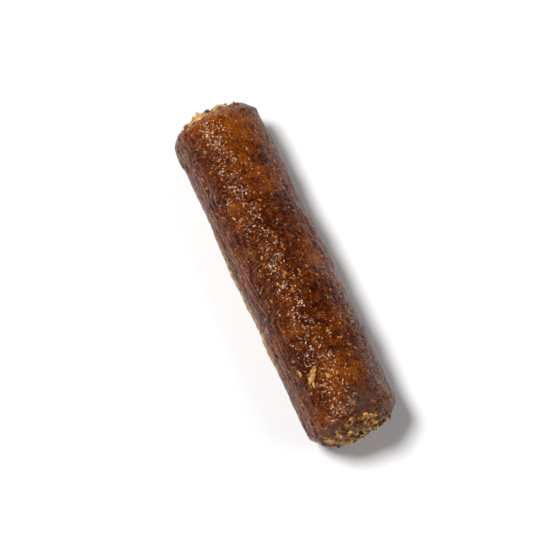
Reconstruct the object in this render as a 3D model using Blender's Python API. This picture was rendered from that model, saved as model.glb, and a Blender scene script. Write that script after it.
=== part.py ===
"""A short, thick dried sausage lying on its side. Metres, +Z up.

The sausage lies along X on the flat spot that its underside settled to, and the origin is on that spot,
below the middle of its box. Skin covers the side. The two blunt ends are bare, crumbly filling with crumbs
standing out of it. A thin lip, where the skin split along the -Y side, stands proud of the surface, and a
dried flake and two coarse grains are stuck on top, near the +X end.
"""

import math

import bmesh
import bpy
import numpy as np
from mathutils import Matrix, Vector

# Driving sizes
LENGTH = 0.1060  # tip to tip, before the crumbs
WIDTH = 0.0272  # across the middle
HEIGHT = 0.0262  # of a section, before its underside settles
SETTLED = 0.0013  # how much of that height the flat spot takes away
FLAT_BLEND = 0.00025  # half the height over which the side turns into the flat spot
CALM_HEIGHT = 0.0030  # above the floor, below which lumps and crags fade out, so that the spot is truly flat
TAPER = 0.010  # share by which the +X end is fatter than the middle, and the -X end thinner
BEND = 0.0004  # how far the middle of the length bows towards +Y
DOMES = {-1: 0.0045, 1: 0.0062}  # depth of the rounding of the -X end and the +X end
POINT = 0.0008  # how much further the middle of an end stands out, as a blunt cone

# Slow unevenness of the side: wavelength along X, turns round the section, height, phase in radians
SWELLS = (
    (0.058, 1, 0.00012, 0.4),
    (0.034, 2, 0.00010, 2.1),
    (0.021, 1, 0.00007, 4.0),
    (0.0127, 3, 0.00006, 1.2),
)
TOP_RIPPLE = (0.0154, 0.00014, 5.96)  # shallow dents along the top: wavelength, height, phase
# Lumps of the filling under the skin, and crags of the bare ends: lattice cell, height, seed
LUMPS = (0.0062, 0.00016, 11)
CRAGS = ((0.0042, 0.00095, 23), (0.0021, 0.00070, 29))
BARE_EDGE = 0.80  # of the radius: inside it an end is bare filling
BARE_BLEND = 0.10  # of the radius, over which the crags fade out

# Facets
SEGMENTS = 52  # round the section
END_RINGS = 14  # over each end
SIDE_RINGS = 32  # along the side

# Crumbs on each end
CRUMBS = 64
CRUMB_REACH = 0.88  # of the radius: how far out the crumbs go
CRUMB_LARGEST, CRUMB_SMALLEST = 0.00230, 0.00095  # radii
CRUMB_SUNK = 0.58  # share of its radius by which a crumb's centre is below the surface
CRUMB_STRAY = 0.35  # radians by which a crumb may leave its place on the spiral
CRUMB_SEED = 7
GOLDEN_ANGLE = math.pi * (3 - math.sqrt(5))

# Lip of split skin, along the -Y side a little below the middle of the height
LIP_FROM, LIP_TO = -0.0215, 0.0335
LIP_ANGLE = math.radians(187)
LIP_RADIUS = 0.00055
LIP_STANDS = 0.00030  # its centreline's height over the surface
LIP_SINKS = 0.00035  # and how far below the surface it has run out at both ends
LIP_POINTS = 30
LIP_ROUGHNESS = (0.0030, 0.00012, 41)  # lattice cell, height, seed

# Flake and grains stuck on the skin, with places as distance along X and angle round the section
FLAKE_PLACE = (0.0328, math.radians(118))
FLAKE_LENGTH, FLAKE_WIDTH, FLAKE_THICKNESS = 0.0065, 0.0019, 0.0007
FLAKE_TURN = math.radians(-25)  # of its length from +X
FLAKE_LIFT = 0.0003  # of its middle plane over the surface
GRAINS = (
    (0.0303, math.radians(133), 0.00065),
    (0.0343, math.radians(100), 0.00070),
)  # x, angle, radius

FILLING_COLOUR = (0.115, 0.036, 0.012, 1.0)

# Constants of the lattice noise's hash
HASH_STEPS = np.array([73856093, 19349663, 83492791])
HASH_SEED_STEP, HASH_FACTOR, HASH_MASK = 374761393, 1274126177, 0x7FFFFFFF


def clear_scene():
    for obj in list(bpy.data.objects):
        bpy.data.objects.remove(obj, do_unlink=True)


def new_collection(name):
    collection = bpy.data.collections.new(name)
    bpy.context.scene.collection.children.link(collection)
    return collection


def filling_material():
    material = bpy.data.materials.new("dried sausage")
    material.use_nodes = True
    shader = material.node_tree.nodes["Principled BSDF"]
    shader.inputs["Base Color"].default_value = FILLING_COLOUR
    shader.inputs["Roughness"].default_value = 0.38
    shader.inputs["Metallic"].default_value = 0.0
    return material


def lattice_noise(points, cell, seed):
    """Smooth noise from -1 to 1: random values at the corners of a cubic lattice, blended between them."""
    scaled = points / cell
    base = np.floor(scaled).astype(np.int64)
    part = scaled - base
    fade = part**3 * (part * (part * 6 - 15) + 10)
    total = np.zeros(points.shape[:-1])
    for corner in range(8):
        step = np.array([corner & 1, corner >> 1 & 1, corner >> 2 & 1])
        key = ((base + step) @ HASH_STEPS + seed * HASH_SEED_STEP) & HASH_MASK
        key = ((key ^ (key >> 13)) * HASH_FACTOR) & HASH_MASK
        key = ((key ^ (key >> 15)) * HASH_FACTOR) & HASH_MASK
        value = 2 * key / HASH_MASK - 1
        total += value * np.prod(np.where(step == 1, fade, 1 - fade), axis=-1)
    return total


def smooth_step(value, low, high):
    share = np.clip((value - low) / (high - low), 0, 1)
    return share * share * (3 - 2 * share)


def plain_surface(x, share, angle):
    """Points where a section at x has this share of its full radius, before lumps and crags.

    A section is an ellipse, WIDTH by HEIGHT, that tapers and swells along X, on a centreline that bows.
    """
    swell = sum(
        height * np.sin(2 * math.pi * x / wave + turns * angle + phase)
        for wave, turns, height, phase in SWELLS
    )
    wave, height, phase = TOP_RIPPLE
    swell = swell + height * np.sin(2 * math.pi * x / wave + phase) * np.clip(np.sin(angle), 0, 1) ** 2
    size = 1 + TAPER * x / (LENGTH / 2) + swell / (WIDTH / 2)
    y = share * size * WIDTH / 2 * np.cos(angle) + BEND * np.cos(math.pi * x / LENGTH)
    z = share * size * HEIGHT / 2 * np.sin(angle) + HEIGHT / 2 - SETTLED
    return np.stack([x, y, z], axis=-1)


def settled(points):
    """The underside pressed flat: z below the floor becomes 0, and z near it is rounded into the flat."""
    z = points[..., 2]
    rounded = np.clip(z + FLAT_BLEND, 0, None) ** 2 / (4 * FLAT_BLEND)
    points[..., 2] = np.where(z < FLAT_BLEND, rounded, z)
    return points


def end_rounding(turn, side):
    """x and the share of the radius on an end, for turn 0 at its rim to pi/2 at its tip; side is -1 or 1."""
    share = np.cos(turn)
    x = side * (LENGTH / 2 - DOMES[side] * (1 - np.sin(turn)) - POINT * share)
    return x, share


def rugged(points, outward, share):
    """Points moved out along their normals by the lumps under the skin and, on bare filling, by crags."""
    bare = 1 - smooth_step(share, BARE_EDGE - BARE_BLEND, BARE_EDGE + BARE_BLEND)
    cell, height, seed = LUMPS
    move = height * lattice_noise(points, cell, seed)
    for cell, height, seed in CRAGS:
        move = move + bare * height * lattice_noise(points, cell, seed)
    move = move * smooth_step(points[..., 2], 0, CALM_HEIGHT)
    return points + outward * move[..., None]


def outward_of(x, share, angle):
    """Unit normals of the plain surface: straight out of the side, and turning to +-X towards a tip."""
    lean = np.sqrt(np.clip(1 - share**2, 0, 1)) * np.sign(x)
    normal = np.stack([lean, share * np.cos(angle), share * np.sin(angle)], axis=-1)
    return normal / np.linalg.norm(normal, axis=-1, keepdims=True)


def surface(x, share, angle):
    """(points, normals) of the finished surface."""
    x, share, angle = np.broadcast_arrays(x, share, angle)
    outward = outward_of(x, share, angle)
    return settled(rugged(plain_surface(x, share, angle), outward, share)), outward


def mesh_object(name, bm, collection, material):
    mesh = bpy.data.meshes.new(name)
    bm.to_mesh(mesh)
    bm.free()
    mesh.materials.append(material)
    obj = bpy.data.objects.new(name, mesh)
    collection.objects.link(obj)
    return obj


def sausage_body(collection, material):
    """A sphere whose rings are spread over the -X end, the side and the +X end, shaped by surface()."""
    rings = 2 * END_RINGS + SIDE_RINGS
    bm = bmesh.new()
    bmesh.ops.create_uvsphere(bm, u_segments=SEGMENTS, v_segments=rings, radius=1)
    unit = np.array([v.co for v in bm.verts])
    ring = np.rint(np.arccos(np.clip(unit[:, 2], -1, 1)) / math.pi * rings)
    angle = np.arctan2(unit[:, 1], unit[:, 0])
    left, _ = end_rounding(0.0, -1)
    right, _ = end_rounding(0.0, 1)
    x_left, share_left = end_rounding(math.pi / 2 * np.clip(1 - ring / END_RINGS, 0, 1), -1)
    x_right, share_right = end_rounding(math.pi / 2 * np.clip(1 - (rings - ring) / END_RINGS, 0, 1), 1)
    along = left + (right - left) * (ring - END_RINGS) / SIDE_RINGS
    x = np.select([ring < END_RINGS, ring > rings - END_RINGS], [x_left, x_right], along)
    share = np.minimum(share_left, share_right)
    points, _ = surface(x, share, angle)
    for vertex, point in zip(bm.verts, points):
        vertex.co = point
    bmesh.ops.recalc_face_normals(bm, faces=bm.faces)
    return mesh_object("sausage", bm, collection, material)


def chip(collection, material, centre, radius, stretch, turn):
    """A coarse crumb: a small faceted ball, stretched and turned."""
    bm = bmesh.new()
    bmesh.ops.create_icosphere(bm, subdivisions=1, radius=radius)
    place = Matrix.Translation(Vector(centre)) @ turn.to_4x4() @ Matrix.Diagonal((*stretch, 1))
    bmesh.ops.transform(bm, matrix=place, verts=bm.verts)
    return mesh_object("crumb", bm, collection, material)


def end_crumbs(collection, material):
    """Crumbs spread evenly over both ends along a sunflower spiral, the largest ones first."""
    rng = np.random.default_rng(CRUMB_SEED)
    for side in (-1, 1):
        for k in range(CRUMBS):
            radius = CRUMB_LARGEST + (CRUMB_SMALLEST - CRUMB_LARGEST) * k / (CRUMBS - 1)
            place = (7 * k + 3) % CRUMBS  # the large ones are taken all over the spiral
            share = CRUMB_REACH * math.sqrt((place + 0.5) / CRUMBS)
            angle = place * GOLDEN_ANGLE + rng.uniform(-CRUMB_STRAY, CRUMB_STRAY)
            x, share = end_rounding(math.acos(share), side)
            point, outward = surface(x, share, angle)
            centre = point - outward * radius * CRUMB_SUNK
            turn = Matrix.Rotation(rng.uniform(0, math.pi), 3, rng.normal(size=3))
            chip(collection, material, centre, radius, rng.uniform(0.72, 1.15, 3), turn)


def meshed(curve_object, collection, material):
    """The curve object as a closed mesh object, with its caps welded on. The curve is removed."""
    bpy.context.view_layer.update()
    graph = bpy.context.evaluated_depsgraph_get()
    mesh = bpy.data.meshes.new_from_object(curve_object.evaluated_get(graph))
    bm = bmesh.new()
    bm.from_mesh(mesh)
    bmesh.ops.remove_doubles(bm, verts=bm.verts, dist=1e-6)
    bmesh.ops.recalc_face_normals(bm, faces=bm.faces)
    obj = mesh_object(curve_object.name + "_mesh", bm, collection, material)
    obj.matrix_world = curve_object.matrix_world
    bpy.data.objects.remove(curve_object)
    return obj


def curve_object(name, points, radii, collection, cyclic):
    curve = bpy.data.curves.new(name, "CURVE")
    curve.dimensions = "3D"
    spline = curve.splines.new("POLY")
    spline.points.add(len(points) - 1)
    for place, point, radius in zip(spline.points, points, radii):
        place.co = (*point, 1)
        place.radius = radius
    spline.use_cyclic_u = cyclic
    obj = bpy.data.objects.new(name, curve)
    collection.objects.link(obj)
    return obj


def split_lip(collection, material):
    """A thin ragged roll of skin along the -Y side, thickest in its middle and running out at both ends."""
    along = np.linspace(0, 1, LIP_POINTS)
    x = LIP_FROM + (LIP_TO - LIP_FROM) * along
    points, outward = surface(x, 1.0, LIP_ANGLE)
    cell, height, seed = LIP_ROUGHNESS
    full = np.sqrt(np.sin(math.pi * along))
    lift = full * (LIP_STANDS + LIP_SINKS) - LIP_SINKS + height * lattice_noise(points, cell, seed)
    points = points + outward * lift[:, None]
    thick = 0.45 + 0.55 * full + 0.15 * lattice_noise(points, cell, seed + 1)
    obj = curve_object("lip", points, thick, collection, cyclic=False)
    obj.data.bevel_depth = LIP_RADIUS
    obj.data.bevel_resolution = 1
    obj.data.use_fill_caps = True
    meshed(obj, collection, material)


def flake_outline():
    """The flake's outline: a blade that widens to the middle and ends in a short and a long tine."""
    shape = ((-0.50, 0.10), (-0.30, 0.42), (0.05, 0.40), (0.24, 0.46), (0.40, 0.30), (0.22, 0.12))
    tine = ((0.36, 0.00), (0.50, -0.22), (0.46, -0.46), (0.20, -0.30), (-0.10, -0.48), (-0.40, -0.30))
    return [(along * FLAKE_LENGTH, across * FLAKE_WIDTH, 0.0) for along, across in shape + tine]


def placed_on_skin(x, angle, lift, turn):
    """Where something lies flat on the skin: its X along the sausage, turned by turn, and its Z outward."""
    point, outward = surface(x, 1.0, angle)
    up = Vector(outward)
    along = (Vector((1, 0, 0)) - up * up.x).normalized()
    frame = Matrix((along, up.cross(along), up)).transposed() @ Matrix.Rotation(turn, 3, "Z")
    return Matrix.Translation(Vector(point) + up * lift) @ frame.to_4x4()


def dried_flake(collection, material):
    outline = flake_outline()
    obj = curve_object("flake", outline, [1.0] * len(outline), collection, cyclic=True)
    obj.data.dimensions = "2D"
    obj.data.fill_mode = "BOTH"
    obj.data.extrude = FLAKE_THICKNESS / 2
    x, angle = FLAKE_PLACE
    obj.matrix_world = placed_on_skin(x, angle, FLAKE_LIFT, FLAKE_TURN)
    meshed(obj, collection, material)


def stuck_grains(collection, material):
    for x, angle, radius in GRAINS:
        place = placed_on_skin(x, angle, 0.0, 0.0)
        chip(collection, material, place.translation, radius, (1.3, 0.8, 0.8), place.to_3x3())


def fuse(body, trim):
    """Joins everything in the trim collection to the body, and removes the collection."""
    union = body.modifiers.new("union", "BOOLEAN")
    union.operation = "UNION"
    union.operand_type = "COLLECTION"
    union.collection = trim
    union.solver = "EXACT"
    bpy.context.view_layer.update()
    graph = bpy.context.evaluated_depsgraph_get()
    joined = bpy.data.meshes.new_from_object(body.evaluated_get(graph))
    body.modifiers.clear()
    body.data = joined
    for obj in list(trim.objects):
        bpy.data.objects.remove(obj, do_unlink=True)
    bpy.data.collections.remove(trim)


def put_on_origin(body):
    """Moves the mesh sideways until the middle of its box is over the origin. Its flat spot is at z 0 already."""
    co = np.array([v.co for v in body.data.vertices])
    middle = (co.min(axis=0) + co.max(axis=0)) / 2
    body.data.transform(Matrix.Translation((-middle[0], -middle[1], 0)))


def shade(body):
    body.data.shade_smooth()
    body.data.set_sharp_from_angle(angle=math.radians(35))


def main():
    clear_scene()
    food = new_collection("sausage")
    trim = new_collection("fused trim")
    material = filling_material()
    body = sausage_body(food, material)
    end_crumbs(trim, material)
    split_lip(trim, material)
    dried_flake(trim, material)
    stuck_grains(trim, material)
    fuse(body, trim)
    put_on_origin(body)
    shade(body)


main()
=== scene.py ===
import math

import bpy
import numpy as np
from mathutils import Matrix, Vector


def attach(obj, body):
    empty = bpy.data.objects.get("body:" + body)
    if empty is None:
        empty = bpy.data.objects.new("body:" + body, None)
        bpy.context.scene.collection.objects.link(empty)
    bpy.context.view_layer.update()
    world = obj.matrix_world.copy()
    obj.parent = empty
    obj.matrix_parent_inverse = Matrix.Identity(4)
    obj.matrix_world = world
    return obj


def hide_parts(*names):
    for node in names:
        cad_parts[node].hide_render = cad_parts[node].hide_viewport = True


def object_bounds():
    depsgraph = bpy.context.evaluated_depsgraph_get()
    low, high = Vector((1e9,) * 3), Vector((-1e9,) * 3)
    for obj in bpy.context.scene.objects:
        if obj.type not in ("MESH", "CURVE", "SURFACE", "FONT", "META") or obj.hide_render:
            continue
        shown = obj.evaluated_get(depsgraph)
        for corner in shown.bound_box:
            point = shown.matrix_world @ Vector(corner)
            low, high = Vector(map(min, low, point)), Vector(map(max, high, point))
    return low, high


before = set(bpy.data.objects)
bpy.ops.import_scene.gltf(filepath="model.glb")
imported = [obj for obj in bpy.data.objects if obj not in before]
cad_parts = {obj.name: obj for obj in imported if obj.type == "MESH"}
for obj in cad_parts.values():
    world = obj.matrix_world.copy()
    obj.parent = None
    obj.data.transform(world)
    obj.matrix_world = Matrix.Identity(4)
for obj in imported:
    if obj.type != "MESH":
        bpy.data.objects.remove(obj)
cadLow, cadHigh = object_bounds()
print("frame: CAD box in mm", [round((high - low) * 1000, 1) for low, high in zip(cadLow, cadHigh)])


# Small functions that every piece uses

def rgb(hexColour):
    # sRGB hex to linear: (v + 0.055) / 1.055 to the power 2.4, and v / 12.92 in the darkest tones
    values = [int(hexColour[i:i + 2], 16) / 255 for i in (1, 3, 5)]
    return [v / 12.92 if v <= 0.04045 else ((v + 0.055) / 1.055) ** 2.4 for v in values] + [1.0]


def perMetre(millimetres):
    # how many cells of this size go into a metre: the Scale of a texture on Object coordinates
    return 1000 / millimetres


def smoothStep(value, low, high):
    # 0 below low, 1 above high, and 3s^2 - 2s^3 between them
    share = np.clip((value - low) / (high - low), 0, 1)
    return share * share * (3 - 2 * share)


# large odd numbers that scatter a lattice corner's place into a number that looks random
hashSteps = np.array([73856093, 19349663, 83492791])
hashSeedStep, hashFactor, hashMask, hashShifts = 374761393, 1274126177, 0x7FFFFFFF, (13, 15)


def latticeNoise(points, cell, seed):
    # random values from -1 to 1 at a cubic lattice's corners, blended between them by 6s^5 - 15s^4 + 10s^3
    scaled = points / cell
    base = np.floor(scaled).astype(np.int64)
    part = scaled - base
    fade = part**3 * (part * (part * 6 - 15) + 10)
    total = np.zeros(points.shape[:-1])
    for corner in range(8):
        step = np.array([corner & 1, corner >> 1 & 1, corner >> 2 & 1])
        key = ((base + step) @ hashSteps + seed * hashSeedStep) & hashMask
        for shift in hashShifts:
            key = ((key ^ (key >> shift)) * hashFactor) & hashMask
        total += (2 * key / hashMask - 1) * np.prod(np.where(step == 1, fade, 1 - fade), axis=-1)
    return total


def ridges(points, cell, seed):
    # 1 - 4 |noise|: 1 along the noise's zero lines, which wander like creases, and less away from them
    return 1 - 4 * np.abs(latticeNoise(points, cell, seed))


def ringFaces(rings, columns):
    # quads between neighbouring rings of a closed surface whose vertices run ring by ring, then both poles,
    # and the triangles that close it onto them
    ring, column = np.meshgrid(np.arange(rings - 1), np.arange(columns), indexing="ij")
    after = (column + 1) % columns
    low, high = ring * columns, (ring + 1) * columns
    quads = np.stack([low + column, low + after, high + after, high + column], -1).reshape(-1, 4)
    here = np.arange(columns)
    there = (here + 1) % columns
    last = (rings - 1) * columns
    first = np.stack([np.full(columns, rings * columns), there, here], -1)
    end = np.stack([np.full(columns, rings * columns + 1), last + here, last + there], -1)
    return quads, np.concatenate([first, end])


def unitBall(rings, columns):
    # a ball of radius 1 as rings between its two poles: (sin tilt cos turn, sin tilt sin turn, cos tilt)
    tilt = math.pi * (np.arange(rings) + 1) / (rings + 1)
    turn = 2 * math.pi * np.arange(columns) / columns
    points = np.stack([np.outer(np.sin(tilt), np.cos(turn)), np.outer(np.sin(tilt), np.sin(turn)),
                       np.outer(np.cos(tilt), np.ones(columns))], -1).reshape(-1, 3)
    quads, triangles = ringFaces(rings, columns)
    return np.concatenate([points, [[0, 0, 1], [0, 0, -1]]]), quads, triangles


def joined(surfaces):
    # (points, quads, triangles) of several surfaces as one: each counts its points on from those before it
    points, quads, triangles = zip(*surfaces)
    starts = np.cumsum([0] + [len(part) for part in points[:-1]])
    return (np.concatenate(points), np.concatenate([part + start for part, start in zip(quads, starts)]),
            np.concatenate([part + start for part, start in zip(triangles, starts)]))


def meshPiece(name, points, quads, triangles, material, slotName="sausage_skin"):
    # whole arrays into one mesh, turned over if the volume that it encloses comes out negative
    a, b, c = (points[triangles[:, i]] for i in range(3))
    p, q, r, s = (points[quads[:, i]] for i in range(4))
    volume = np.sum(a * np.cross(b, c)) + np.sum(p * np.cross(q, r)) + np.sum(p * np.cross(r, s))
    if volume < 0:
        quads, triangles = quads[:, ::-1], triangles[:, ::-1]
    mesh = bpy.data.meshes.new(name)
    mesh.vertices.add(len(points))
    mesh.vertices.foreach_set("co", points.astype(np.float32).ravel())
    corners = np.concatenate([quads.ravel(), triangles.ravel()]).astype(np.int32)
    mesh.loops.add(len(corners))
    mesh.loops.foreach_set("vertex_index", corners)
    sides = np.concatenate([np.full(len(quads), 4), np.full(len(triangles), 3)]).astype(np.int32)
    mesh.polygons.add(len(sides))
    mesh.polygons.foreach_set("loop_start", (np.cumsum(sides) - sides).astype(np.int32))
    mesh.polygons.foreach_set("loop_total", sides)
    mesh.update(calc_edges=True)
    mesh.validate()
    mesh.shade_smooth()
    mesh.materials.append(material)
    piece = bpy.data.objects.new(name, mesh)
    bpy.context.scene.collection.objects.link(piece)
    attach(piece, "root")
    print("piece:", name, 2 * len(quads) + len(triangles), "triangles")
    return piece


def paint(piece, name, values):
    # a number at each vertex, which a material reads through an Attribute node
    layer = piece.data.attributes.new(name, "FLOAT", "POINT")
    layer.data.foreach_set("value", np.asarray(values, np.float32))


def addNode(tree, kind, settings=(), links=()):
    # one node: a setting is a ramp's stops, the node's own property or a socket's value, and a link is an
    # output that a socket reads
    node = tree.nodes.new(kind)
    for key, value in dict(settings).items():
        if key == "stops":
            ramp = node.color_ramp.elements
            while len(ramp) < len(value):
                ramp.new(0.5)
            for element, (position, colour) in zip(ramp, value):
                element.position = position
                element.color = rgb(colour)
        elif isinstance(key, str) and hasattr(node, key):
            setattr(node, key, value)
        else:
            node.inputs[key].default_value = value
    for key, source in dict(links).items():
        tree.links.new(source, node.inputs[key])
    return node


def newMaterial(name):
    # a material, its emptied node tree, and the object coordinates that every pattern reads
    material = bpy.data.materials.new(name)
    material.use_nodes = True
    tree = material.node_tree
    tree.nodes.clear()
    return material, tree, addNode(tree, "ShaderNodeTexCoord").outputs["Object"]


def finishMaterial(tree, settings, links):
    # the surface shader, with its constants on its own sockets, and the output that it goes to
    shader = addNode(tree, "ShaderNodeBsdfPrincipled", settings, links)
    addNode(tree, "ShaderNodeOutputMaterial", (), {"Surface": shader.outputs["BSDF"]})


def mixColour(tree, factor, first, second):
    # first where factor is 0, second where it is 1: a colour is an output to read or a hex value
    settings, links = {"data_type": "RGBA"}, {0: factor}
    for key, value in ((6, first), (7, second)):
        if isinstance(value, str):
            settings[key] = rgb(value)
        else:
            links[key] = value
    return addNode(tree, "ShaderNodeMix", settings, links).outputs[2]


# The sausage's shape, with the same values as its solid

sausage = {
    "length": 0.1060,  # tip to tip, before the crumbs
    "width": 0.0272,  # across the middle
    "height": 0.0262,  # of a section, before its underside settles
    "settled": 0.0013,  # how much of that height the flat spot takes away
    "flatBlend": 0.00025,  # half the height over which the side turns into the flat spot
    "calmHeight": 0.0030,  # above the floor, below which lumps and crags fade out
    "taper": 0.010,  # share by which the +X end is fatter than the middle
    "bend": 0.0004,  # how far the middle of the length bows towards +Y
    "domes": {-1: 0.0045, 1: 0.0062},  # depth of the rounding of the -X end and the +X end
    "point": 0.0008,  # how much further the middle of an end stands out
    "swells": ((0.058, 1, 0.00012, 0.4), (0.034, 2, 0.00010, 2.1), (0.021, 1, 0.00007, 4.0),
               (0.0127, 3, 0.00006, 1.2)),  # wavelength, turns round the section, height, phase
    "topRipple": (0.0154, 0.00014, 5.96),  # wavelength, height, phase
    "lumps": (0.0062, 0.00016, 11),  # lattice cell, height, seed
    "crags": ((0.0042, 0.00095, 23), (0.0021, 0.00070, 29)),
    "bareEdge": 0.80,  # of the radius: inside it an end is bare filling
    "bareBlend": 0.10,
    "offset": (0.000157, -0.000081, 0.0),  # from the middle of the length and width to the CAD's origin
}
meanRadius = (sausage["width"] + sausage["height"]) / 4


def plainSurface(x, share, angle):
    # an ellipse across X, this share of its full size, that tapers and swells along X on a bowed centreline
    swell = sum(height * np.sin(2 * math.pi * x / wave + turns * angle + phase)
                for wave, turns, height, phase in sausage["swells"])
    wave, height, phase = sausage["topRipple"]
    swell = swell + height * np.sin(2 * math.pi * x / wave + phase) * np.clip(np.sin(angle), 0, 1) ** 2
    size = 1 + sausage["taper"] * x / (sausage["length"] / 2) + swell / (sausage["width"] / 2)
    bow = sausage["bend"] * np.cos(math.pi * x / sausage["length"])
    y = share * size * sausage["width"] / 2 * np.cos(angle) + bow
    z = share * size * sausage["height"] / 2 * np.sin(angle) + sausage["height"] / 2 - sausage["settled"]
    return np.stack([x, y, z], axis=-1)


def settledFlat(points):
    # z below the floor becomes 0, and z within flatBlend of it becomes (z + blend)^2 / 4 blend
    blend, z = sausage["flatBlend"], points[..., 2]
    rounded = np.clip(z + blend, 0, None) ** 2 / (4 * blend)
    return np.concatenate([points[..., :2], np.where(z < blend, rounded, z)[..., None]], axis=-1)


def endRounding(turn, side):
    # from turn 0, the rim, to pi/2, the tip: the share of the radius is cos(turn), and x runs in by the dome
    # and by the point
    share = np.cos(turn)
    dome = np.where(np.asarray(side) > 0, sausage["domes"][1], sausage["domes"][-1])
    x = sausage["length"] / 2 - dome * (1 - np.sin(turn)) - sausage["point"] * share
    return side * x, share


def outwardOf(x, share, angle):
    # straight out of the side, and leaning to +X or -X by sqrt(1 - share^2) towards a tip
    lean = np.sqrt(np.clip(1 - share**2, 0, 1)) * np.sign(x)
    normal = np.stack([lean, share * np.cos(angle), share * np.sin(angle)], axis=-1)
    return normal / np.linalg.norm(normal, axis=-1, keepdims=True)


def solidSurface(x, share, angle):
    # (points, outward) of the solid: the plain surface, moved out by lumps under the skin and by crags of the
    # bare filling
    x, share, angle = np.broadcast_arrays(x, share, angle)
    outward = outwardOf(x, share, angle)
    points = plainSurface(x, share, angle)
    low, high = (sausage["bareEdge"] + sign * sausage["bareBlend"] for sign in (-1, 1))
    bare = 1 - smoothStep(share, low, high)
    cell, height, seed = sausage["lumps"]
    move = height * latticeNoise(points, cell, seed)
    for cell, height, seed in sausage["crags"]:
        move = move + bare * height * latticeNoise(points, cell, seed)
    move = move * smoothStep(points[..., 2], 0, sausage["calmHeight"])
    return settledFlat(points + outward * move[..., None]), outward


# Materials of the sausage

skinLook = {
    "darkMeat": "#2C0700",  # dried meat seen through the skin, in the thick places
    "redMeat": "#461401",
    "brownMeat": "#5B2302",
    "amberMeat": "#823F08",  # fat and thin skin, where light comes back out
    "clearFat": "#9A5610",
    "goldenGrain": "#C08A4A",  # cereal and fat under the skin
    "paintedSheen": "#A87C69",  # painted sheen: the pale surroundings mirrored in the fine lines along the flanks
    "bloomGrey": "#4E3A34",  # dry, dull bloom
    # painted shade in the groove above the lip
    "grooveShade": "#1C0A06",
    # the meat's warmth is a sum of uneven patterns and of the painted amber places, each with its weight
    "patchMm": 11.0,
    "patchWeight": 0.38,
    "mottleMm": 2.0,
    "mottleWeight": 0.44,
    "toneMm": 0.6,
    "toneWeight": 0.48,
    "amberWeight": 0.20,
    "warmthStops": (0.55, 0.62, 0.69, 0.80, 0.98),  # where that sum gives each of the first five colours
    # grains that show through: size in mm, the noise above which they show, how strongly, colour
    "specks": ((1.1, 0.62, 0.70, "amberMeat"), (1.4, 0.66, 0.75, "goldenGrain")),
    "speckEdge": 0.07,  # of that noise, over which a grain fades in
    "warpMm": 1.5,  # a pattern that pushes grains out of round
    "warpReach": 0.0007,
    # small faces over the filling's grains: size in mm, spread of their slopes, height of the dome on each
    "faces": ((1.05, 0.34, 0.00005), (0.64, 0.38, 0.00004)),
    "grainStretch": 1.3,  # of X, so that the grains are shorter along the sausage than across it
    "wrinkleMm": 1.10,
    "wrinkleHeight": 0.00030,
    "lineMm": 0.55,  # from one drawn line to the next, round the section
    "lineStretch": 0.12,  # of X, so that the lines run along the sausage
    "lineHeight": 0.00022,
    "sheenStreaks": (0.46, 0.64, 0.70),  # noise where the painted sheen streaks begin, where they are full, and their strength
    "sheenMm": 4.5,  # from a glossy place to a dull one
    "sheenNoise": (0.42, 0.62),  # where the noise is glossy, and where it is dull
    "roughness": (0.10, 0.16),
    "dullness": 0.30,  # added to the roughness on the streaks along the flanks, on bloom and on bare filling
    "specular": (0.42, 0.13),  # on top, and on the drawn flanks
    "bareMm": 1.3,  # grain of the bare filling
    "bareTones": ((0.36, "#24110A"), (0.46, "#653C20"), (0.55, "#A86E3E"), (0.66, "#D8A266")),
}


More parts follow.
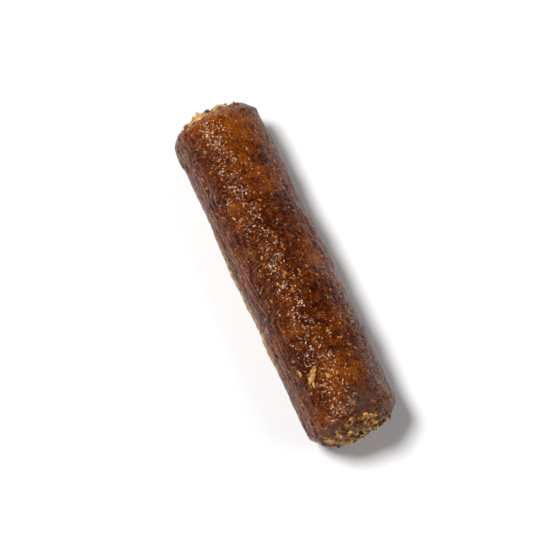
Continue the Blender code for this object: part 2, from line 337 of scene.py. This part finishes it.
def driedSkin():
    # Collagen sausage skin, dried on the meat: clear, amber and finely wrinkled. The eye sees dark red-brown
    # meat and golden grains through it, a sparkle on each grain, and dull fine lines along the flanks. Their
    # pale grey-mauve colour is a painted sheen, and the groove above the lip has painted shade.
    look = skinLook
    material, tree, place = newMaterial("collagen skin dried over meat")
    bare, amber, bloom, groove, flank = (
        addNode(tree, "ShaderNodeAttribute", {"attribute_name": name}).outputs["Fac"]
        for name in ("bare", "amber", "bloom", "groove", "flank"))

    patch = addNode(tree, "ShaderNodeTexNoise", {"Scale": perMetre(look["patchMm"]), "Detail": 3.0,
                                                "Roughness": 0.55}, {"Vector": place})
    mottle = addNode(tree, "ShaderNodeTexNoise", {"Scale": perMetre(look["mottleMm"]), "Detail": 3.0,
                                                 "Roughness": 0.6}, {"Vector": place})
    warp = addNode(tree, "ShaderNodeTexNoise", {"Scale": perMetre(look["warpMm"]), "Detail": 1.0},
                   {"Vector": place})
    warped = addNode(tree, "ShaderNodeVectorMath", {"operation": "MULTIPLY_ADD", 1: (look["warpReach"],) * 3},
                     {0: warp.outputs["Color"], 2: place})

    # the meat's warmth, from broad, middle and fine unevenness
    tone = addNode(tree, "ShaderNodeTexNoise", {"Scale": perMetre(look["toneMm"]), "Detail": 2.0},
                   {"Vector": place})
    warmth = addNode(tree, "ShaderNodeMath", {"operation": "MULTIPLY", 1: look["patchWeight"]},
                     {0: patch.outputs["Fac"]})
    for part, weight in ((mottle.outputs["Fac"], look["mottleWeight"]),
                         (tone.outputs["Fac"], look["toneWeight"]), (amber, look["amberWeight"])):
        warmth = addNode(tree, "ShaderNodeMath", {"operation": "MULTIPLY_ADD", 1: weight},
                         {0: part, 2: warmth.outputs[0]})
    meatTones = [look[name] for name in ("darkMeat", "redMeat", "brownMeat", "amberMeat", "clearFat")]
    meat = addNode(tree, "ShaderNodeValToRGB", {"stops": tuple(zip(look["warmthStops"], meatTones))},
                   {"Fac": warmth.outputs[0]})
    colour = mixColour(tree, bloom, meat.outputs["Color"], look["bloomGrey"])
    for speckMm, low, most, grainTone in look["specks"]:
        specks = addNode(tree, "ShaderNodeTexNoise", {"Scale": perMetre(speckMm), "Detail": 1.0},
                         {"Vector": warped.outputs[0]})
        mask = addNode(tree, "ShaderNodeMapRange", {"From Min": low, "From Max": low + look["speckEdge"],
                                                    "To Max": most}, {"Value": specks.outputs["Fac"]})
        colour = mixColour(tree, mask.outputs[0], colour, look[grainTone])

    # fine lines along the flanks, where the skin has drawn together, with painted sheen in their pale colour
    stretched = addNode(tree, "ShaderNodeVectorMath", {"operation": "MULTIPLY",
                                                       1: (look["lineStretch"], 1, 1)}, {0: place})
    lines = addNode(tree, "ShaderNodeTexNoise", {"Scale": perMetre(look["lineMm"]), "Detail": 2.0,
                                                "Roughness": 0.6, "Distortion": 0.3},
                    {"Vector": stretched.outputs[0]})
    begins, full, strength = look["sheenStreaks"]
    lineMask = addNode(tree, "ShaderNodeMapRange", {"From Min": begins, "From Max": full, "To Max": strength},
                       {"Value": lines.outputs["Fac"]})
    sheenStreak = addNode(tree, "ShaderNodeMath", {"operation": "MULTIPLY"}, {0: lineMask.outputs[0], 1: flank})
    # painted sheen: the pale grey-mauve of the mirrored surroundings mixed into the colour along the flank
    # lines
    colour = mixColour(tree, sheenStreak.outputs[0], colour, look["paintedSheen"])
    # painted shade: the groove above the lip darkened in the colour
    colour = mixColour(tree, groove, colour, look["grooveShade"])

    crumb = addNode(tree, "ShaderNodeTexNoise", {"Scale": perMetre(look["bareMm"]), "Detail": 4.0,
                                                "Roughness": 0.65}, {"Vector": place})
    crumbColour = addNode(tree, "ShaderNodeValToRGB", {"stops": look["bareTones"]},
                          {"Fac": crumb.outputs["Fac"]})
    colour = mixColour(tree, bare, colour, crumbColour.outputs["Color"])

    # over each grain the skin dries to a small, slightly domed face, which leans its own way at random
    squeezed = addNode(tree, "ShaderNodeVectorMath", {"operation": "MULTIPLY",
                                                      1: (look["grainStretch"], 1, 1)},
                       {0: warped.outputs[0]})
    bump = None
    for cellMm, lean, dome in look["faces"]:
        grains = addNode(tree, "ShaderNodeTexVoronoi", {"Scale": perMetre(cellMm), "Randomness": 1.0},
                         {"Vector": squeezed.outputs[0]})
        away = addNode(tree, "ShaderNodeVectorMath", {"operation": "SUBTRACT"},
                       {0: squeezed.outputs[0], 1: grains.outputs["Position"]})
        slope = addNode(tree, "ShaderNodeVectorMath", {"operation": "MULTIPLY_ADD", 1: (lean,) * 3,
                                                       2: (-lean / 2,) * 3}, {0: grains.outputs["Color"]})
        face = addNode(tree, "ShaderNodeVectorMath", {"operation": "DOT_PRODUCT"},
                       {0: away.outputs[0], 1: slope.outputs[0]})
        rise = addNode(tree, "ShaderNodeMath", {"operation": "MULTIPLY_ADD", 1: -dome},
                       {0: grains.outputs["Distance"], 2: face.outputs["Value"]})
        bump = addNode(tree, "ShaderNodeBump", {"Strength": 1.0, "Distance": 1.0},
                       {"Height": rise.outputs[0], **({"Normal": bump.outputs["Normal"]} if bump else {})})
    wrinkle = addNode(tree, "ShaderNodeTexNoise", {"Scale": perMetre(look["wrinkleMm"]), "Detail": 1.0},
                      {"Vector": place})
    bump = addNode(tree, "ShaderNodeBump", {"Strength": 1.0, "Distance": look["wrinkleHeight"]},
                   {"Height": wrinkle.outputs["Fac"], "Normal": bump.outputs["Normal"]})
    ridge = addNode(tree, "ShaderNodeMath", {"operation": "MULTIPLY"}, {0: lines.outputs["Fac"], 1: flank})
    bump = addNode(tree, "ShaderNodeBump", {"Strength": 1.0, "Distance": look["lineHeight"]},
                   {"Height": ridge.outputs[0], "Normal": bump.outputs["Normal"]})

    sheen = addNode(tree, "ShaderNodeTexNoise", {"Scale": perMetre(look["sheenMm"]), "Detail": 2.0},
                    {"Vector": place})
    glossy, dulled = look["sheenNoise"]
    least, most = look["roughness"]
    gloss = addNode(tree, "ShaderNodeMapRange", {"From Min": glossy, "From Max": dulled, "To Min": least,
                                                 "To Max": most}, {"Value": sheen.outputs["Fac"]})
    dull = addNode(tree, "ShaderNodeMath", {"operation": "MAXIMUM"}, {
        0: addNode(tree, "ShaderNodeMath", {"operation": "MAXIMUM"}, {0: bare, 1: bloom}).outputs[0],
        1: sheenStreak.outputs[0]})
    rough = addNode(tree, "ShaderNodeMath", {"operation": "MULTIPLY_ADD", 1: look["dullness"],
                                             "use_clamp": True}, {0: dull.outputs[0], 2: gloss.outputs[0]})
    onTop, onFlank = look["specular"]
    shine = addNode(tree, "ShaderNodeMapRange", {"To Min": onTop, "To Max": onFlank}, {"Value": flank})
    finishMaterial(tree, {"Subsurface Weight": 0.08, "Subsurface Radius": (1.0, 0.35, 0.15),
                          "Subsurface Scale": 0.0006, "IOR": 1.45, "Specular IOR Level": onTop,
                          "Specular Tint": (1.0, 0.78, 0.60, 1.0)},
                   {"Base Color": colour, "Roughness": rough.outputs[0],
                    "Specular IOR Level": shine.outputs[0], "Normal": bump.outputs["Normal"]})
    return material


crumbLook = {
    "gritMm": 0.3,
    "gritHeight": 0.00010,
    "roughnessSpread": 0.08,  # either side of a crumb's own roughness
}


def driedCrumb(name, tones, patternMm, roughness):
    # Coarse dried filling: opaque, grainy and nearly matte. The eye sees small broken faces of uneven colour.
    material, tree, place = newMaterial(name)
    tone = addNode(tree, "ShaderNodeTexNoise", {"Scale": perMetre(patternMm), "Detail": 3.0,
                                                "Roughness": 0.6}, {"Vector": place})
    colour = addNode(tree, "ShaderNodeValToRGB", {"stops": tones}, {"Fac": tone.outputs["Fac"]})
    grit = addNode(tree, "ShaderNodeTexNoise", {"Scale": perMetre(crumbLook["gritMm"]), "Detail": 2.0},
                   {"Vector": place})
    bump = addNode(tree, "ShaderNodeBump", {"Strength": 0.7, "Distance": crumbLook["gritHeight"]},
                   {"Height": grit.outputs["Fac"]})
    spread = crumbLook["roughnessSpread"]
    rough = addNode(tree, "ShaderNodeMapRange", {"From Min": 0.3, "From Max": 0.7,
                                                 "To Min": roughness - spread, "To Max": roughness + spread},
                    {"Value": grit.outputs["Fac"]})
    finishMaterial(tree, {"IOR": 1.47, "Subsurface Weight": 0.12, "Subsurface Radius": (1.0, 0.5, 0.2),
                          "Subsurface Scale": 0.0006},
                   {"Base Color": colour.outputs["Color"], "Roughness": rough.outputs[0],
                    "Normal": bump.outputs["Normal"]})
    return material


skin = driedSkin()
# each with its tones, the size of their pattern in mm, and its roughness
goldenFat = driedCrumb("crumb of dried fat and cereal", (
    (0.34, "#8C5422"), (0.47, "#CC9044"), (0.60, "#EEC47C")), 0.7, 0.48)
brownMeat = driedCrumb("crumb of dried meat", (
    (0.30, "#2C150C"), (0.50, "#6A3C1E"), (0.70, "#AA7442")), 0.9, 0.55)
flakeMeat = driedCrumb("flake of dried filling", (
    (0.36, "#6E4018"), (0.48, "#B47832"), (0.62, "#DEA85C")), 0.6, 0.50)
paleSkin = driedCrumb("torn edge of dried collagen skin", (
    (0.34, "#60462A"), (0.47, "#9A7C50"), (0.62, "#C4A878")), 1.0, 0.52)
print("materials ready")


# The body: one closed surface, with fine wrinkles in the skin and grains in the bare ends

relief = {
    "columns": 244,  # round the section
    "endRings": 60,  # over each end
    "sideRings": 280,  # along the side
    "pebbles": ((0.00150, 0.00009, 51), (0.00095, 0.00007, 57)),  # lattice cell, height, seed
    "wrinkle": (0.00170, 0.000045, 61),
    "wrinkleStretch": 0.45,  # of X, so that wrinkles are longer along the sausage
    "dents": ((0.0036, 0.00018, 67), (0.0078, 0.00024, 69)),
    "grains": ((0.00140, 0.00022, 71), (0.00080, 0.00016, 73)),  # of the bare filling
    "grainLift": 0.4,  # share of their height by which grains stand out more than they sink in
    "skinThickness": 0.00022,
    "edgeWander": ((0.0042, 0.050, 83), (0.0016, 0.035, 89)),  # of the skin's edge, in shares of the radius
    # where the skin has drawn back or reaches further: side, angle and width in degrees, share of the radius
    "edgePlaces": ((1, 92, 34, 0.15), (1, 150, 20, 0.06), (-1, 128, 26, 0.16), (-1, 66, 30, -0.12)),
    "edgeLimit": 0.96,
    "edgeBlend": 0.025,  # on each side of the edge
    # a groove above the lip, dented in the mesh and darkened in the colour as painted shade
    "groove": {"from": -0.0208, "to": 0.0328, "angle": math.radians(181.8), "halfWidth": 0.00035,
               "depth": 0.00028, "fade": 0.003, "wander": (0.004, 0.0002, 91), "shadeStrength": 1.2},
    "flank": (38, 66),  # degrees from the top where the drawn lines and their painted sheen begin, and where they are full
    "flankWander": (0.005, 9, 93),  # lattice cell, degrees, seed
    "floorFade": (-0.0002, 0.0012),  # heights between which the relief comes in, above the flat spot
    "blister": {"x": 0.0074, "angle": math.radians(129), "radius": 0.0007, "height": 0.00028},
    # patches as x, angle in degrees, radius, strength
    "amberPatches": ((-0.0500, 84, 0.0050, 1.0), (-0.0495, 116, 0.0034, 0.7), (-0.0423, 63, 0.0058, 1.0),
                     (-0.0325, 76, 0.0040, 0.7), (-0.0262, 68, 0.0036, 0.7), (0.0008, 52, 0.0036, 0.7),
                     (-0.0216, 117, 0.0016, 0.6), (0.0346, 84, 0.0065, 0.8), (0.0076, 133, 0.0011, 1.0),
                     (0.0185, 118, 0.0024, 0.8), (0.0449, 126, 0.0028, 0.8)),
    "bloomPatches": ((0.0457, 75, 0.0050, 0.65), (0.0490, 123, 0.0030, 0.5)),
    "patchEdge": (0.0022, 0.6, 97),  # how noise roughens their edges: lattice cell, share, seed
}


def softPatches(points, x, angle, patches):
    # the sum of round hills exp(-d^2 / r^2), with d over the skin from each place, and rough edges by noise
    total = np.zeros(x.shape)
    for px, degrees, radius, strength in patches:
        turn = (angle - math.radians(degrees) + math.pi) % (2 * math.pi) - math.pi
        away = ((x - px) ** 2 + (meanRadius * turn) ** 2) / radius**2
        total = total + strength * np.exp(-away)
    cell, share, seed = relief["patchEdge"]
    return np.clip(total * (1 + share * latticeNoise(points, cell, seed)), 0, 1)


def bareMask(points, x, share, angle):
    # 1 on bare filling, 0 on skin: the share of the radius against an edge that wanders with noise, and with
    # a hill exp(-d^2 / width^2) over the angle at each place
    edge = sausage["bareEdge"] + 0 * share
    for side, degrees, width, amount in relief["edgePlaces"]:
        turn = (np.degrees(angle) - degrees + 180) % 360 - 180
        edge = edge + amount * np.exp(-((turn / width) ** 2)) * (np.sign(x) == side)
    for cell, height, seed in relief["edgeWander"]:
        edge = edge + height * latticeNoise(points, cell, seed)
    edge = np.minimum(edge, relief["edgeLimit"])
    return 1 - smoothStep(share, edge - relief["edgeBlend"], edge + relief["edgeBlend"])


def sausageBody():
    # rings from tip to tip, by equal turns on the ends and equal steps along the side, moved out by relief
    columns, ends, along = relief["columns"], relief["endRings"], relief["sideRings"]
    turn = math.pi / 2 * (1 - np.arange(1, ends + 1) / ends)
    leftX, leftShare = endRounding(turn, -1)
    rightX, rightShare = endRounding(turn[::-1], 1)
    sideX = np.linspace(leftX[-1], rightX[0], along + 1)[1:-1]
    x = np.concatenate([leftX, sideX, rightX])[:, None]
    share = np.concatenate([leftShare, np.ones(along - 1), rightShare])[:, None]
    angle = (np.arange(columns) / columns * 2 * math.pi)[None, :]
    x, share, angle = (a.ravel() for a in np.broadcast_arrays(x, share, angle))
    tipX, tipShare = endRounding(np.array([math.pi / 2, math.pi / 2]), np.array([-1, 1]))
    x = np.concatenate([x, tipX])
    share = np.concatenate([share, tipShare])
    angle = np.concatenate([angle, [0.0, 0.0]])
    points, outward = solidSurface(x, share, angle)

    bare = bareMask(points, x, share, angle)
    covered = 1 - bare
    move = covered * relief["skinThickness"]
    for cell, height, seed in relief["pebbles"] + relief["dents"]:
        move = move + covered * height * latticeNoise(points, cell, seed)
    cell, height, seed = relief["wrinkle"]
    stretched = points * np.array([relief["wrinkleStretch"], 1, 1])
    move = move + covered * height * ridges(stretched, cell, seed)
    for cell, height, seed in relief["grains"]:
        move = move + bare * height * (relief["grainLift"] + ridges(points, cell, seed))

    cut = relief["groove"]
    cell, height, seed = cut["wander"]
    across = meanRadius * (angle - cut["angle"]) + height * latticeNoise(points, cell, seed)
    within = smoothStep(x, cut["from"], cut["from"] + cut["fade"])
    within = within * (1 - smoothStep(x, cut["to"] - cut["fade"], cut["to"]))
    groove = covered * within * np.exp(-(across / cut["halfWidth"]) ** 2)
    move = move - cut["depth"] * groove
    spot = relief["blister"]
    away = np.hypot(x - spot["x"], meanRadius * (angle - spot["angle"])) / spot["radius"]
    move = move + spot["height"] * np.exp(-away**2)
    move = move * smoothStep(points[:, 2], *relief["floorFade"])

    points = points + outward * move[:, None] + np.array(sausage["offset"])
    points[:, 2] = np.maximum(points[:, 2], 0)
    quads, triangles = ringFaces(2 * ends + along - 1, columns)
    body = meshPiece("sausageBody", points, quads, triangles, skin)
    paint(body, "bare", bare)
    # painted shade along the groove, which darkens the skin's colour there
    paint(body, "groove", np.clip(groove * cut["shadeStrength"], 0, 1))
    paint(body, "amber", softPatches(points, x, angle, relief["amberPatches"]))
    paint(body, "bloom", softPatches(points, x, angle, relief["bloomPatches"]))
    # the flanks by their angle from the top, which take the drawn lines, their painted sheen and a lower
    # shine
    cell, degrees, seed = relief["flankWander"]
    fromTop = np.abs((np.degrees(angle) + 90) % 360 - 180) + degrees * latticeNoise(points, cell, seed)
    paint(body, "flank", covered * smoothStep(fromTop, *relief["flank"]))
    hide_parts("sausage")


sausageBody()


# Crumbs that stand out of both bare ends

crumbs = {
    "rings": 4,
    "columns": 7,
    "roughness": 0.42,  # share of its radius by which a crumb's surface is uneven
    "patch": (0.0045, 19),  # lattice cell and seed of the places where one kind or the other gathers
    # lumps of golden crumbs, as x, y, z and radius
    "goldenLumps": ((0.0522, -0.0034, 0.0165, 0.0032), (0.0515, 0.0020, 0.0185, 0.0020),
                    (0.0490, 0.0052, 0.0220, 0.0014), (-0.0512, -0.0050, 0.0190, 0.0038),
                    (-0.0505, 0.0029, 0.0220, 0.0020)),
    # name, material, count, smallest and largest radius, reach in shares of the radius, least value of the
    # patch noise, what a lump adds to that noise, share by which crumbs are larger in a lump, seed
    "kinds": (
        ("meatCrumbs", brownMeat, 560, 0.00032, 0.00125, 0.87, -1.0, -2.0, 0.0, 3),
        ("goldenCrumbs", goldenFat, 640, 0.00030, 0.00135, 0.94, 0.06, 2.0, 0.5, 5),
    ),
    "sizePower": 1.5,  # above 1, small crumbs are more common than large ones
    "stretch": (0.45, 1.35),  # least and most, along each of a crumb's three axes
    "bareLeast": 0.6,  # how bare the filling is where a crumb may stand
    "sunk": 0.45,  # share of its radius by which a crumb's centre is below the surface
}


def scatteredCrumbs(name, material, count, smallest, largest, reach, least, gather, growth, seed):
    # balls of a few rings, each stretched, turned and roughened, at random places on both ends
    rng = np.random.default_rng(seed)
    share = reach * np.sqrt(rng.random(count))
    angle = rng.random(count) * 2 * math.pi
    side = np.where(np.arange(count) % 2 == 0, 1, -1)
    radius = smallest + (largest - smallest) * rng.random(count) ** crumbs["sizePower"]
    x, share = endRounding(np.arccos(share), side)
    centres, outward = solidSurface(x, share, angle)
    lump = sum(np.exp(-np.sum((centres - place[:3]) ** 2, axis=1) / place[3] ** 2)
               for place in np.array(crumbs["goldenLumps"]))
    gathered = latticeNoise(centres, *crumbs["patch"]) + gather * lump
    stays = (bareMask(centres, x, share, angle) > crumbs["bareLeast"]) & (gathered > least)
    radius = radius * (1 + growth * lump)
    centres, outward, radius, count = centres[stays], outward[stays], radius[stays], np.count_nonzero(stays)
    centres = centres - outward * (radius * crumbs["sunk"])[:, None] + np.array(sausage["offset"])

    unit, quads, triangles = unitBall(crumbs["rings"], crumbs["columns"])
    uneven = 1 + crumbs["roughness"] * rng.uniform(-1, 1, (count, len(unit)))
    stretch = rng.uniform(*crumbs["stretch"], (count, 1, 3))
    balls = unit[None] * uneven[..., None] * stretch * radius[:, None, None]
    # the matrix of a random unit quaternion turns each ball
    q = rng.normal(size=(count, 4))
    w, a, b, c = (q / np.linalg.norm(q, axis=1, keepdims=True)).T
    turns = np.array([[1 - 2 * (b * b + c * c), 2 * (a * b - c * w), 2 * (a * c + b * w)],
                      [2 * (a * b + c * w), 1 - 2 * (a * a + c * c), 2 * (b * c - a * w)],
                      [2 * (a * c - b * w), 2 * (b * c + a * w), 1 - 2 * (a * a + b * b)]])
    points = np.einsum("ijn,nkj->nki", turns, balls) + centres[:, None]
    points[..., 2] = np.maximum(points[..., 2], 0)
    start = (np.arange(count) * len(unit))[:, None, None]
    meshPiece(name, points.reshape(-1, 3), (quads[None] + start).reshape(-1, 4),
              (triangles[None] + start).reshape(-1, 3), material)


for kind in crumbs["kinds"]:
    scatteredCrumbs(*kind)


# The lip of split skin along the -Y side

lip = {
    "from": -0.0215,
    "to": 0.0335,
    "angle": math.radians(187),
    "endTurn": -0.040,  # radians by which both ends climb the side
    "stands": 0.00030,  # its centreline's height over the skin
    "outward": 0.00055,  # half its size out from the skin
    "around": 0.00032,  # and along the section
    # a thinner roll beside it, this share as thick
    "strand": {"from": -0.0030, "to": 0.0230, "angle": math.radians(184.6), "size": 0.45, "stands": 0.00006},
    "bluntness": 0.3,  # power of the sine that thins the ends: the lower, the blunter
    "endPlace": 0.001,  # where the sine is read for the end stations, so that they keep some thickness
    "sunk": 0.0003,  # how deep both ends go into the skin
    "uneven": ((0.0042, 0.30, 101), (0.0011, 0.14, 103)),  # thickness: lattice cell, share, seed
    "wander": ((0.0060, 0.022, 107), (0.0014, 0.010, 109)),  # round the section: lattice cell, radians, seed
    "ragged": ((0.0012, 0.20, 113), (0.0004, 0.10, 114)),  # surface: lattice cell, share, seed
    "stations": 420,
    "columns": 12,
}


def wander(points, layers):
    # the sum of noises, each a lattice cell, a height and a seed
    return sum(height * latticeNoise(points, cell, seed) for cell, height, seed in layers)


def sweptRoll(x, angle, lift, outwardSize, aroundSize):
    # an oval carried along the skin at lift over it, closed at both ends, its surface roughened by noise
    base, outward = solidSurface(x, 1.0, angle)
    around = np.stack([np.zeros(len(x)), -outward[:, 2], outward[:, 1]], -1)
    turn = 2 * math.pi * np.arange(lip["columns"]) / lip["columns"]
    centre = base + outward * lift[:, None] + np.array(sausage["offset"])
    points = (centre[:, None] + outward[:, None] * (outwardSize[:, None] * np.cos(turn))[..., None]
              + around[:, None] * (aroundSize[:, None] * np.sin(turn))[..., None])
    points = centre[:, None] + (points - centre[:, None]) * (1 + wander(points, lip["ragged"]))[..., None]
    ends = centre[[0, -1]]
    return np.concatenate([points.reshape(-1, 3), ends])


def seamLip():
    # a thick roll with a thin strand beside it, as one piece
    along = np.linspace(0, 1, lip["stations"])
    full = np.sin(math.pi * np.clip(along, lip["endPlace"], 1 - lip["endPlace"])) ** lip["bluntness"]
    climb = lip["endTurn"] * (2 * along - 1) ** 2
    rolls = []
    for roll, size in ((lip, 1.0), (lip["strand"], lip["strand"]["size"])):
        x = roll["from"] + (roll["to"] - roll["from"]) * along
        spine = np.stack([x, 0 * x, 0 * x], -1)
        thick = size * full * (1 + wander(spine, lip["uneven"]))
        angle = roll["angle"] + wander(spine, lip["wander"]) + climb
        lift = full * (roll["stands"] + lip["sunk"]) - lip["sunk"]
        points = sweptRoll(x, angle, lift, lip["outward"] * thick, lip["around"] * thick)
        rolls.append((points, *ringFaces(lip["stations"], lip["columns"])))
    meshPiece("seamLip", *joined(rolls), paleSkin)


seamLip()


# The forked flake and the two grains stuck on top, near the +X end

flake = {
    "x": 0.0328,
    "angle": math.radians(118),
    "turn": math.radians(-25),  # of its length from +X
    "lift": 0.00045,
    "length": 0.0067,
    "thickness": 0.00042,
    "bow": 0.00025,  # rise from its middle, times the square of the distance from there in lengths
    "squareness": 10,  # power that closes a blade's ends: the higher, the blunter
    "endPlace": 0.004,  # where that power is read for the end stations, so that they keep some thickness
    "ragged": (0.0006, 0.00016, (121, 122, 123)),  # lattice cell, height, seed of each direction
    # blades as middle line points and half widths, in shares of the length
    "blades": (
        (((-0.50, 0.13), (-0.28, 0.08), (0.00, -0.03), (0.22, -0.05)), (0.07, 0.13, 0.17, 0.14)),
        (((-0.05, 0.02), (0.15, 0.02), (0.36, 0.06), (0.50, 0.11)), (0.09, 0.08, 0.06, 0.03)),
        (((-0.05, -0.09), (0.12, -0.11), (0.24, -0.13), (0.36, -0.15)), (0.08, 0.07, 0.06, 0.03)),
    ),
    "stations": 60,
    "columns": 16,
}

grains = {
    # x, angle in degrees, and radii along, round and out of the sausage
    "places": ((0.0303, 133, (0.00095, 0.00050, 0.00045)), (0.0343, 100, (0.00085, 0.00070, 0.00055))),
    "lift": 0.00012,
    "uneven": (0.0005, 0.35, 131),  # lattice cell, share, seed
    "patternSize": 0.0007,  # radius of the ball on which that unevenness is worked out
    "rings": 12,
    "columns": 18,
}


def skinFrame(x, degrees):
    # a point of the skin, and its directions along the sausage, round it and outward
    point, outward = solidSurface(np.array([x]), 1.0, np.array([math.radians(degrees)]))
    up = outward[0]
    along = np.array([1.0, 0.0, 0.0]) - up * up[0]
    along = along / np.linalg.norm(along)
    return point[0] + np.array(sausage["offset"]), along, np.cross(up, along), up


def driedFlake():
    # each blade is a flat oval carried along its middle line, bowed up at the tips and roughened by noise
    origin, along, across, up = skinFrame(flake["x"], math.degrees(flake["angle"]))
    cosT, sinT = math.cos(flake["turn"]), math.sin(flake["turn"])
    first = along * cosT + across * sinT
    second = across * cosT - along * sinT
    turn = 2 * math.pi * np.arange(flake["columns"]) / flake["columns"]
    place = np.linspace(0, 1, flake["stations"])
    inner = np.clip(place, flake["endPlace"], 1 - flake["endPlace"])
    closing = np.sqrt(np.clip(1 - (2 * inner - 1) ** flake["squareness"], 0, 1))
    cell, height, seeds = flake["ragged"]
    blades = []
    for line, widths in flake["blades"]:
        knots = np.linspace(0, 1, len(line))
        lengthwise = np.interp(place, knots, [p[0] for p in line]) * flake["length"]
        sideways = np.interp(place, knots, [p[1] for p in line]) * flake["length"]
        half = np.interp(place, knots, widths) * flake["length"] * closing
        high = flake["thickness"] * closing
        bow = flake["lift"] + flake["bow"] * (lengthwise / flake["length"]) ** 2
        local = np.stack([lengthwise[:, None] + 0 * turn, sideways[:, None] + half[:, None] * np.cos(turn),
                          bow[:, None] + high[:, None] * np.sin(turn)], -1)
        local = local + height * np.stack([latticeNoise(local, cell, seed) for seed in seeds], -1)
        ends = np.stack([local[0].mean(0), local[-1].mean(0)])
        local = np.concatenate([local.reshape(-1, 3), ends])
        blades.append((origin + local[:, :1] * first + local[:, 1:2] * second + local[:, 2:] * up,
                       *ringFaces(flake["stations"], flake["columns"])))
    meshPiece("driedFlake", *joined(blades), flakeMeat)


def stuckGrains():
    # balls drawn out to three radii, roughened by noise, and partly sunk in the skin
    unit, quads, triangles = unitBall(grains["rings"], grains["columns"])
    cell, share, seed = grains["uneven"]
    uneven = 1 + share * latticeNoise(unit * grains["patternSize"], cell, seed)
    balls = []
    for x, degrees, radii in grains["places"]:
        origin, along, across, up = skinFrame(x, degrees)
        local = unit * np.array(radii) * uneven[:, None]
        balls.append((origin + local[:, :1] * along + local[:, 1:2] * across
                      + (local[:, 2:] + grains["lift"]) * up, quads, triangles))
    meshPiece("stuckGrains", *joined(balls), flakeMeat)


driedFlake()
stuckGrains()


# Floor, light and camera

studio = {
    "floorSize": 3.0,
    "floorTones": ((0.3, "#FDFDFD"), (0.7, "#FEFEFE")),
    "floorMm": 400,  # from a paler place of the paper to the next
    "overhead": 0.05,  # brightness of the surround straight up
    "horizon": 0.42,
    "overheadFrom": 0.8,  # the sine of the elevation from which it is as dark as overhead
    "lamps": {  # name: place, size, power, whether the skin mirrors it
        "softbox": ((-0.26, -0.26, 0.80), 0.26, 7.4, True),  # above the -X end, on the -Y side
        "fill panel": ((0.25, 0.50, 0.55), 0.50, 1.3, False),
    },
    "lampTarget": (0, 0, 0.01),
    "azimuth": 65.2,  # 0 looks along +Y
    "elevation": 78.0,
    "distance": 0.65,
    "viewWidth": 0.1559,  # of the picture, at the sausage
    "centreRight": 0.00506,  # where the sausage's middle shows, from the picture's middle
    "centreDown": 0.00188,
    "sensorMm": 36,
    "clip": (0.01, 20),
}


def paleFloor():
    # a flat square of matte white paper
    half = studio["floorSize"] / 2
    points = [(-half, -half, 0), (half, -half, 0), (half, half, 0), (-half, half, 0)]
    mesh = bpy.data.meshes.new("paperFloor")
    mesh.from_pydata(points, [], [(0, 1, 2, 3)])
    material, tree, place = newMaterial("matte white paper")
    tone = addNode(tree, "ShaderNodeTexNoise", {"Scale": perMetre(studio["floorMm"])}, {"Vector": place})
    colour = addNode(tree, "ShaderNodeValToRGB", {"stops": studio["floorTones"]},
                     {"Fac": tone.outputs["Fac"]})
    finishMaterial(tree, {"Roughness": 0.9, "Specular IOR Level": 0.1},
                   {"Base Color": colour.outputs["Color"]})
    mesh.materials.append(material)
    floor = bpy.data.objects.new("paperFloor", mesh)
    bpy.context.scene.collection.objects.link(floor)


def aimed(thing, position, target):
    # placed, with its -Z axis towards the target
    thing.location = position
    thing.rotation_mode = "QUATERNION"
    thing.rotation_quaternion = (Vector(target) - Vector(position)).to_track_quat("-Z", "Y")


def softLight():
    # a round softbox over the -X end, a weak fill from +Y, and a pale surrounding that is darker overhead
    world = bpy.data.worlds.new("pale studio")
    world.use_nodes = True
    tree = world.node_tree
    direction = addNode(tree, "ShaderNodeTexCoord").outputs["Generated"]
    height = addNode(tree, "ShaderNodeSeparateXYZ", (), {0: direction}).outputs["Z"]
    glow = addNode(tree, "ShaderNodeMapRange", {"From Max": studio["overheadFrom"],
                                                "To Min": studio["horizon"], "To Max": studio["overhead"]},
                   {"Value": height})
    tree.links.new(glow.outputs[0], tree.nodes["Background"].inputs["Strength"])
    tree.nodes["Background"].inputs["Color"].default_value = rgb("#FFFFFF")
    bpy.context.scene.world = world
    for name, (place, size, power, mirrored) in studio["lamps"].items():
        data = bpy.data.lights.new(name, "AREA")
        data.shape = "DISK"
        data.size = size
        data.energy = power
        lamp = bpy.data.objects.new(name, data)
        bpy.context.scene.collection.objects.link(lamp)
        lamp.visible_glossy = mirrored
        aimed(lamp, place, studio["lampTarget"])


def camera():
    # back = (sin a cos e, -cos a cos e, sin e) from the target, which is moved so that the sausage sits off
    # centre
    a, e = math.radians(studio["azimuth"]), math.radians(studio["elevation"])
    back = Vector((math.sin(a) * math.cos(e), -math.cos(a) * math.cos(e), math.sin(e)))
    right = Vector((math.cos(a), math.sin(a), 0))
    up = back.cross(right)
    middle = Vector((0, 0, (cadLow.z + cadHigh.z) / 2))
    target = middle - right * studio["centreRight"] + up * studio["centreDown"]
    data = bpy.data.cameras.new("camera")
    data.sensor_width = studio["sensorMm"]
    data.lens = studio["sensorMm"] * studio["distance"] / studio["viewWidth"]
    data.clip_start, data.clip_end = studio["clip"]
    eye = bpy.data.objects.new("camera", data)
    bpy.context.scene.collection.objects.link(eye)
    aimed(eye, target + back * studio["distance"], target)
    bpy.context.scene.camera = eye


paleFloor()
softLight()
camera()
bpy.context.scene.view_settings.view_transform = "Standard"
print("floor, light and camera ready")
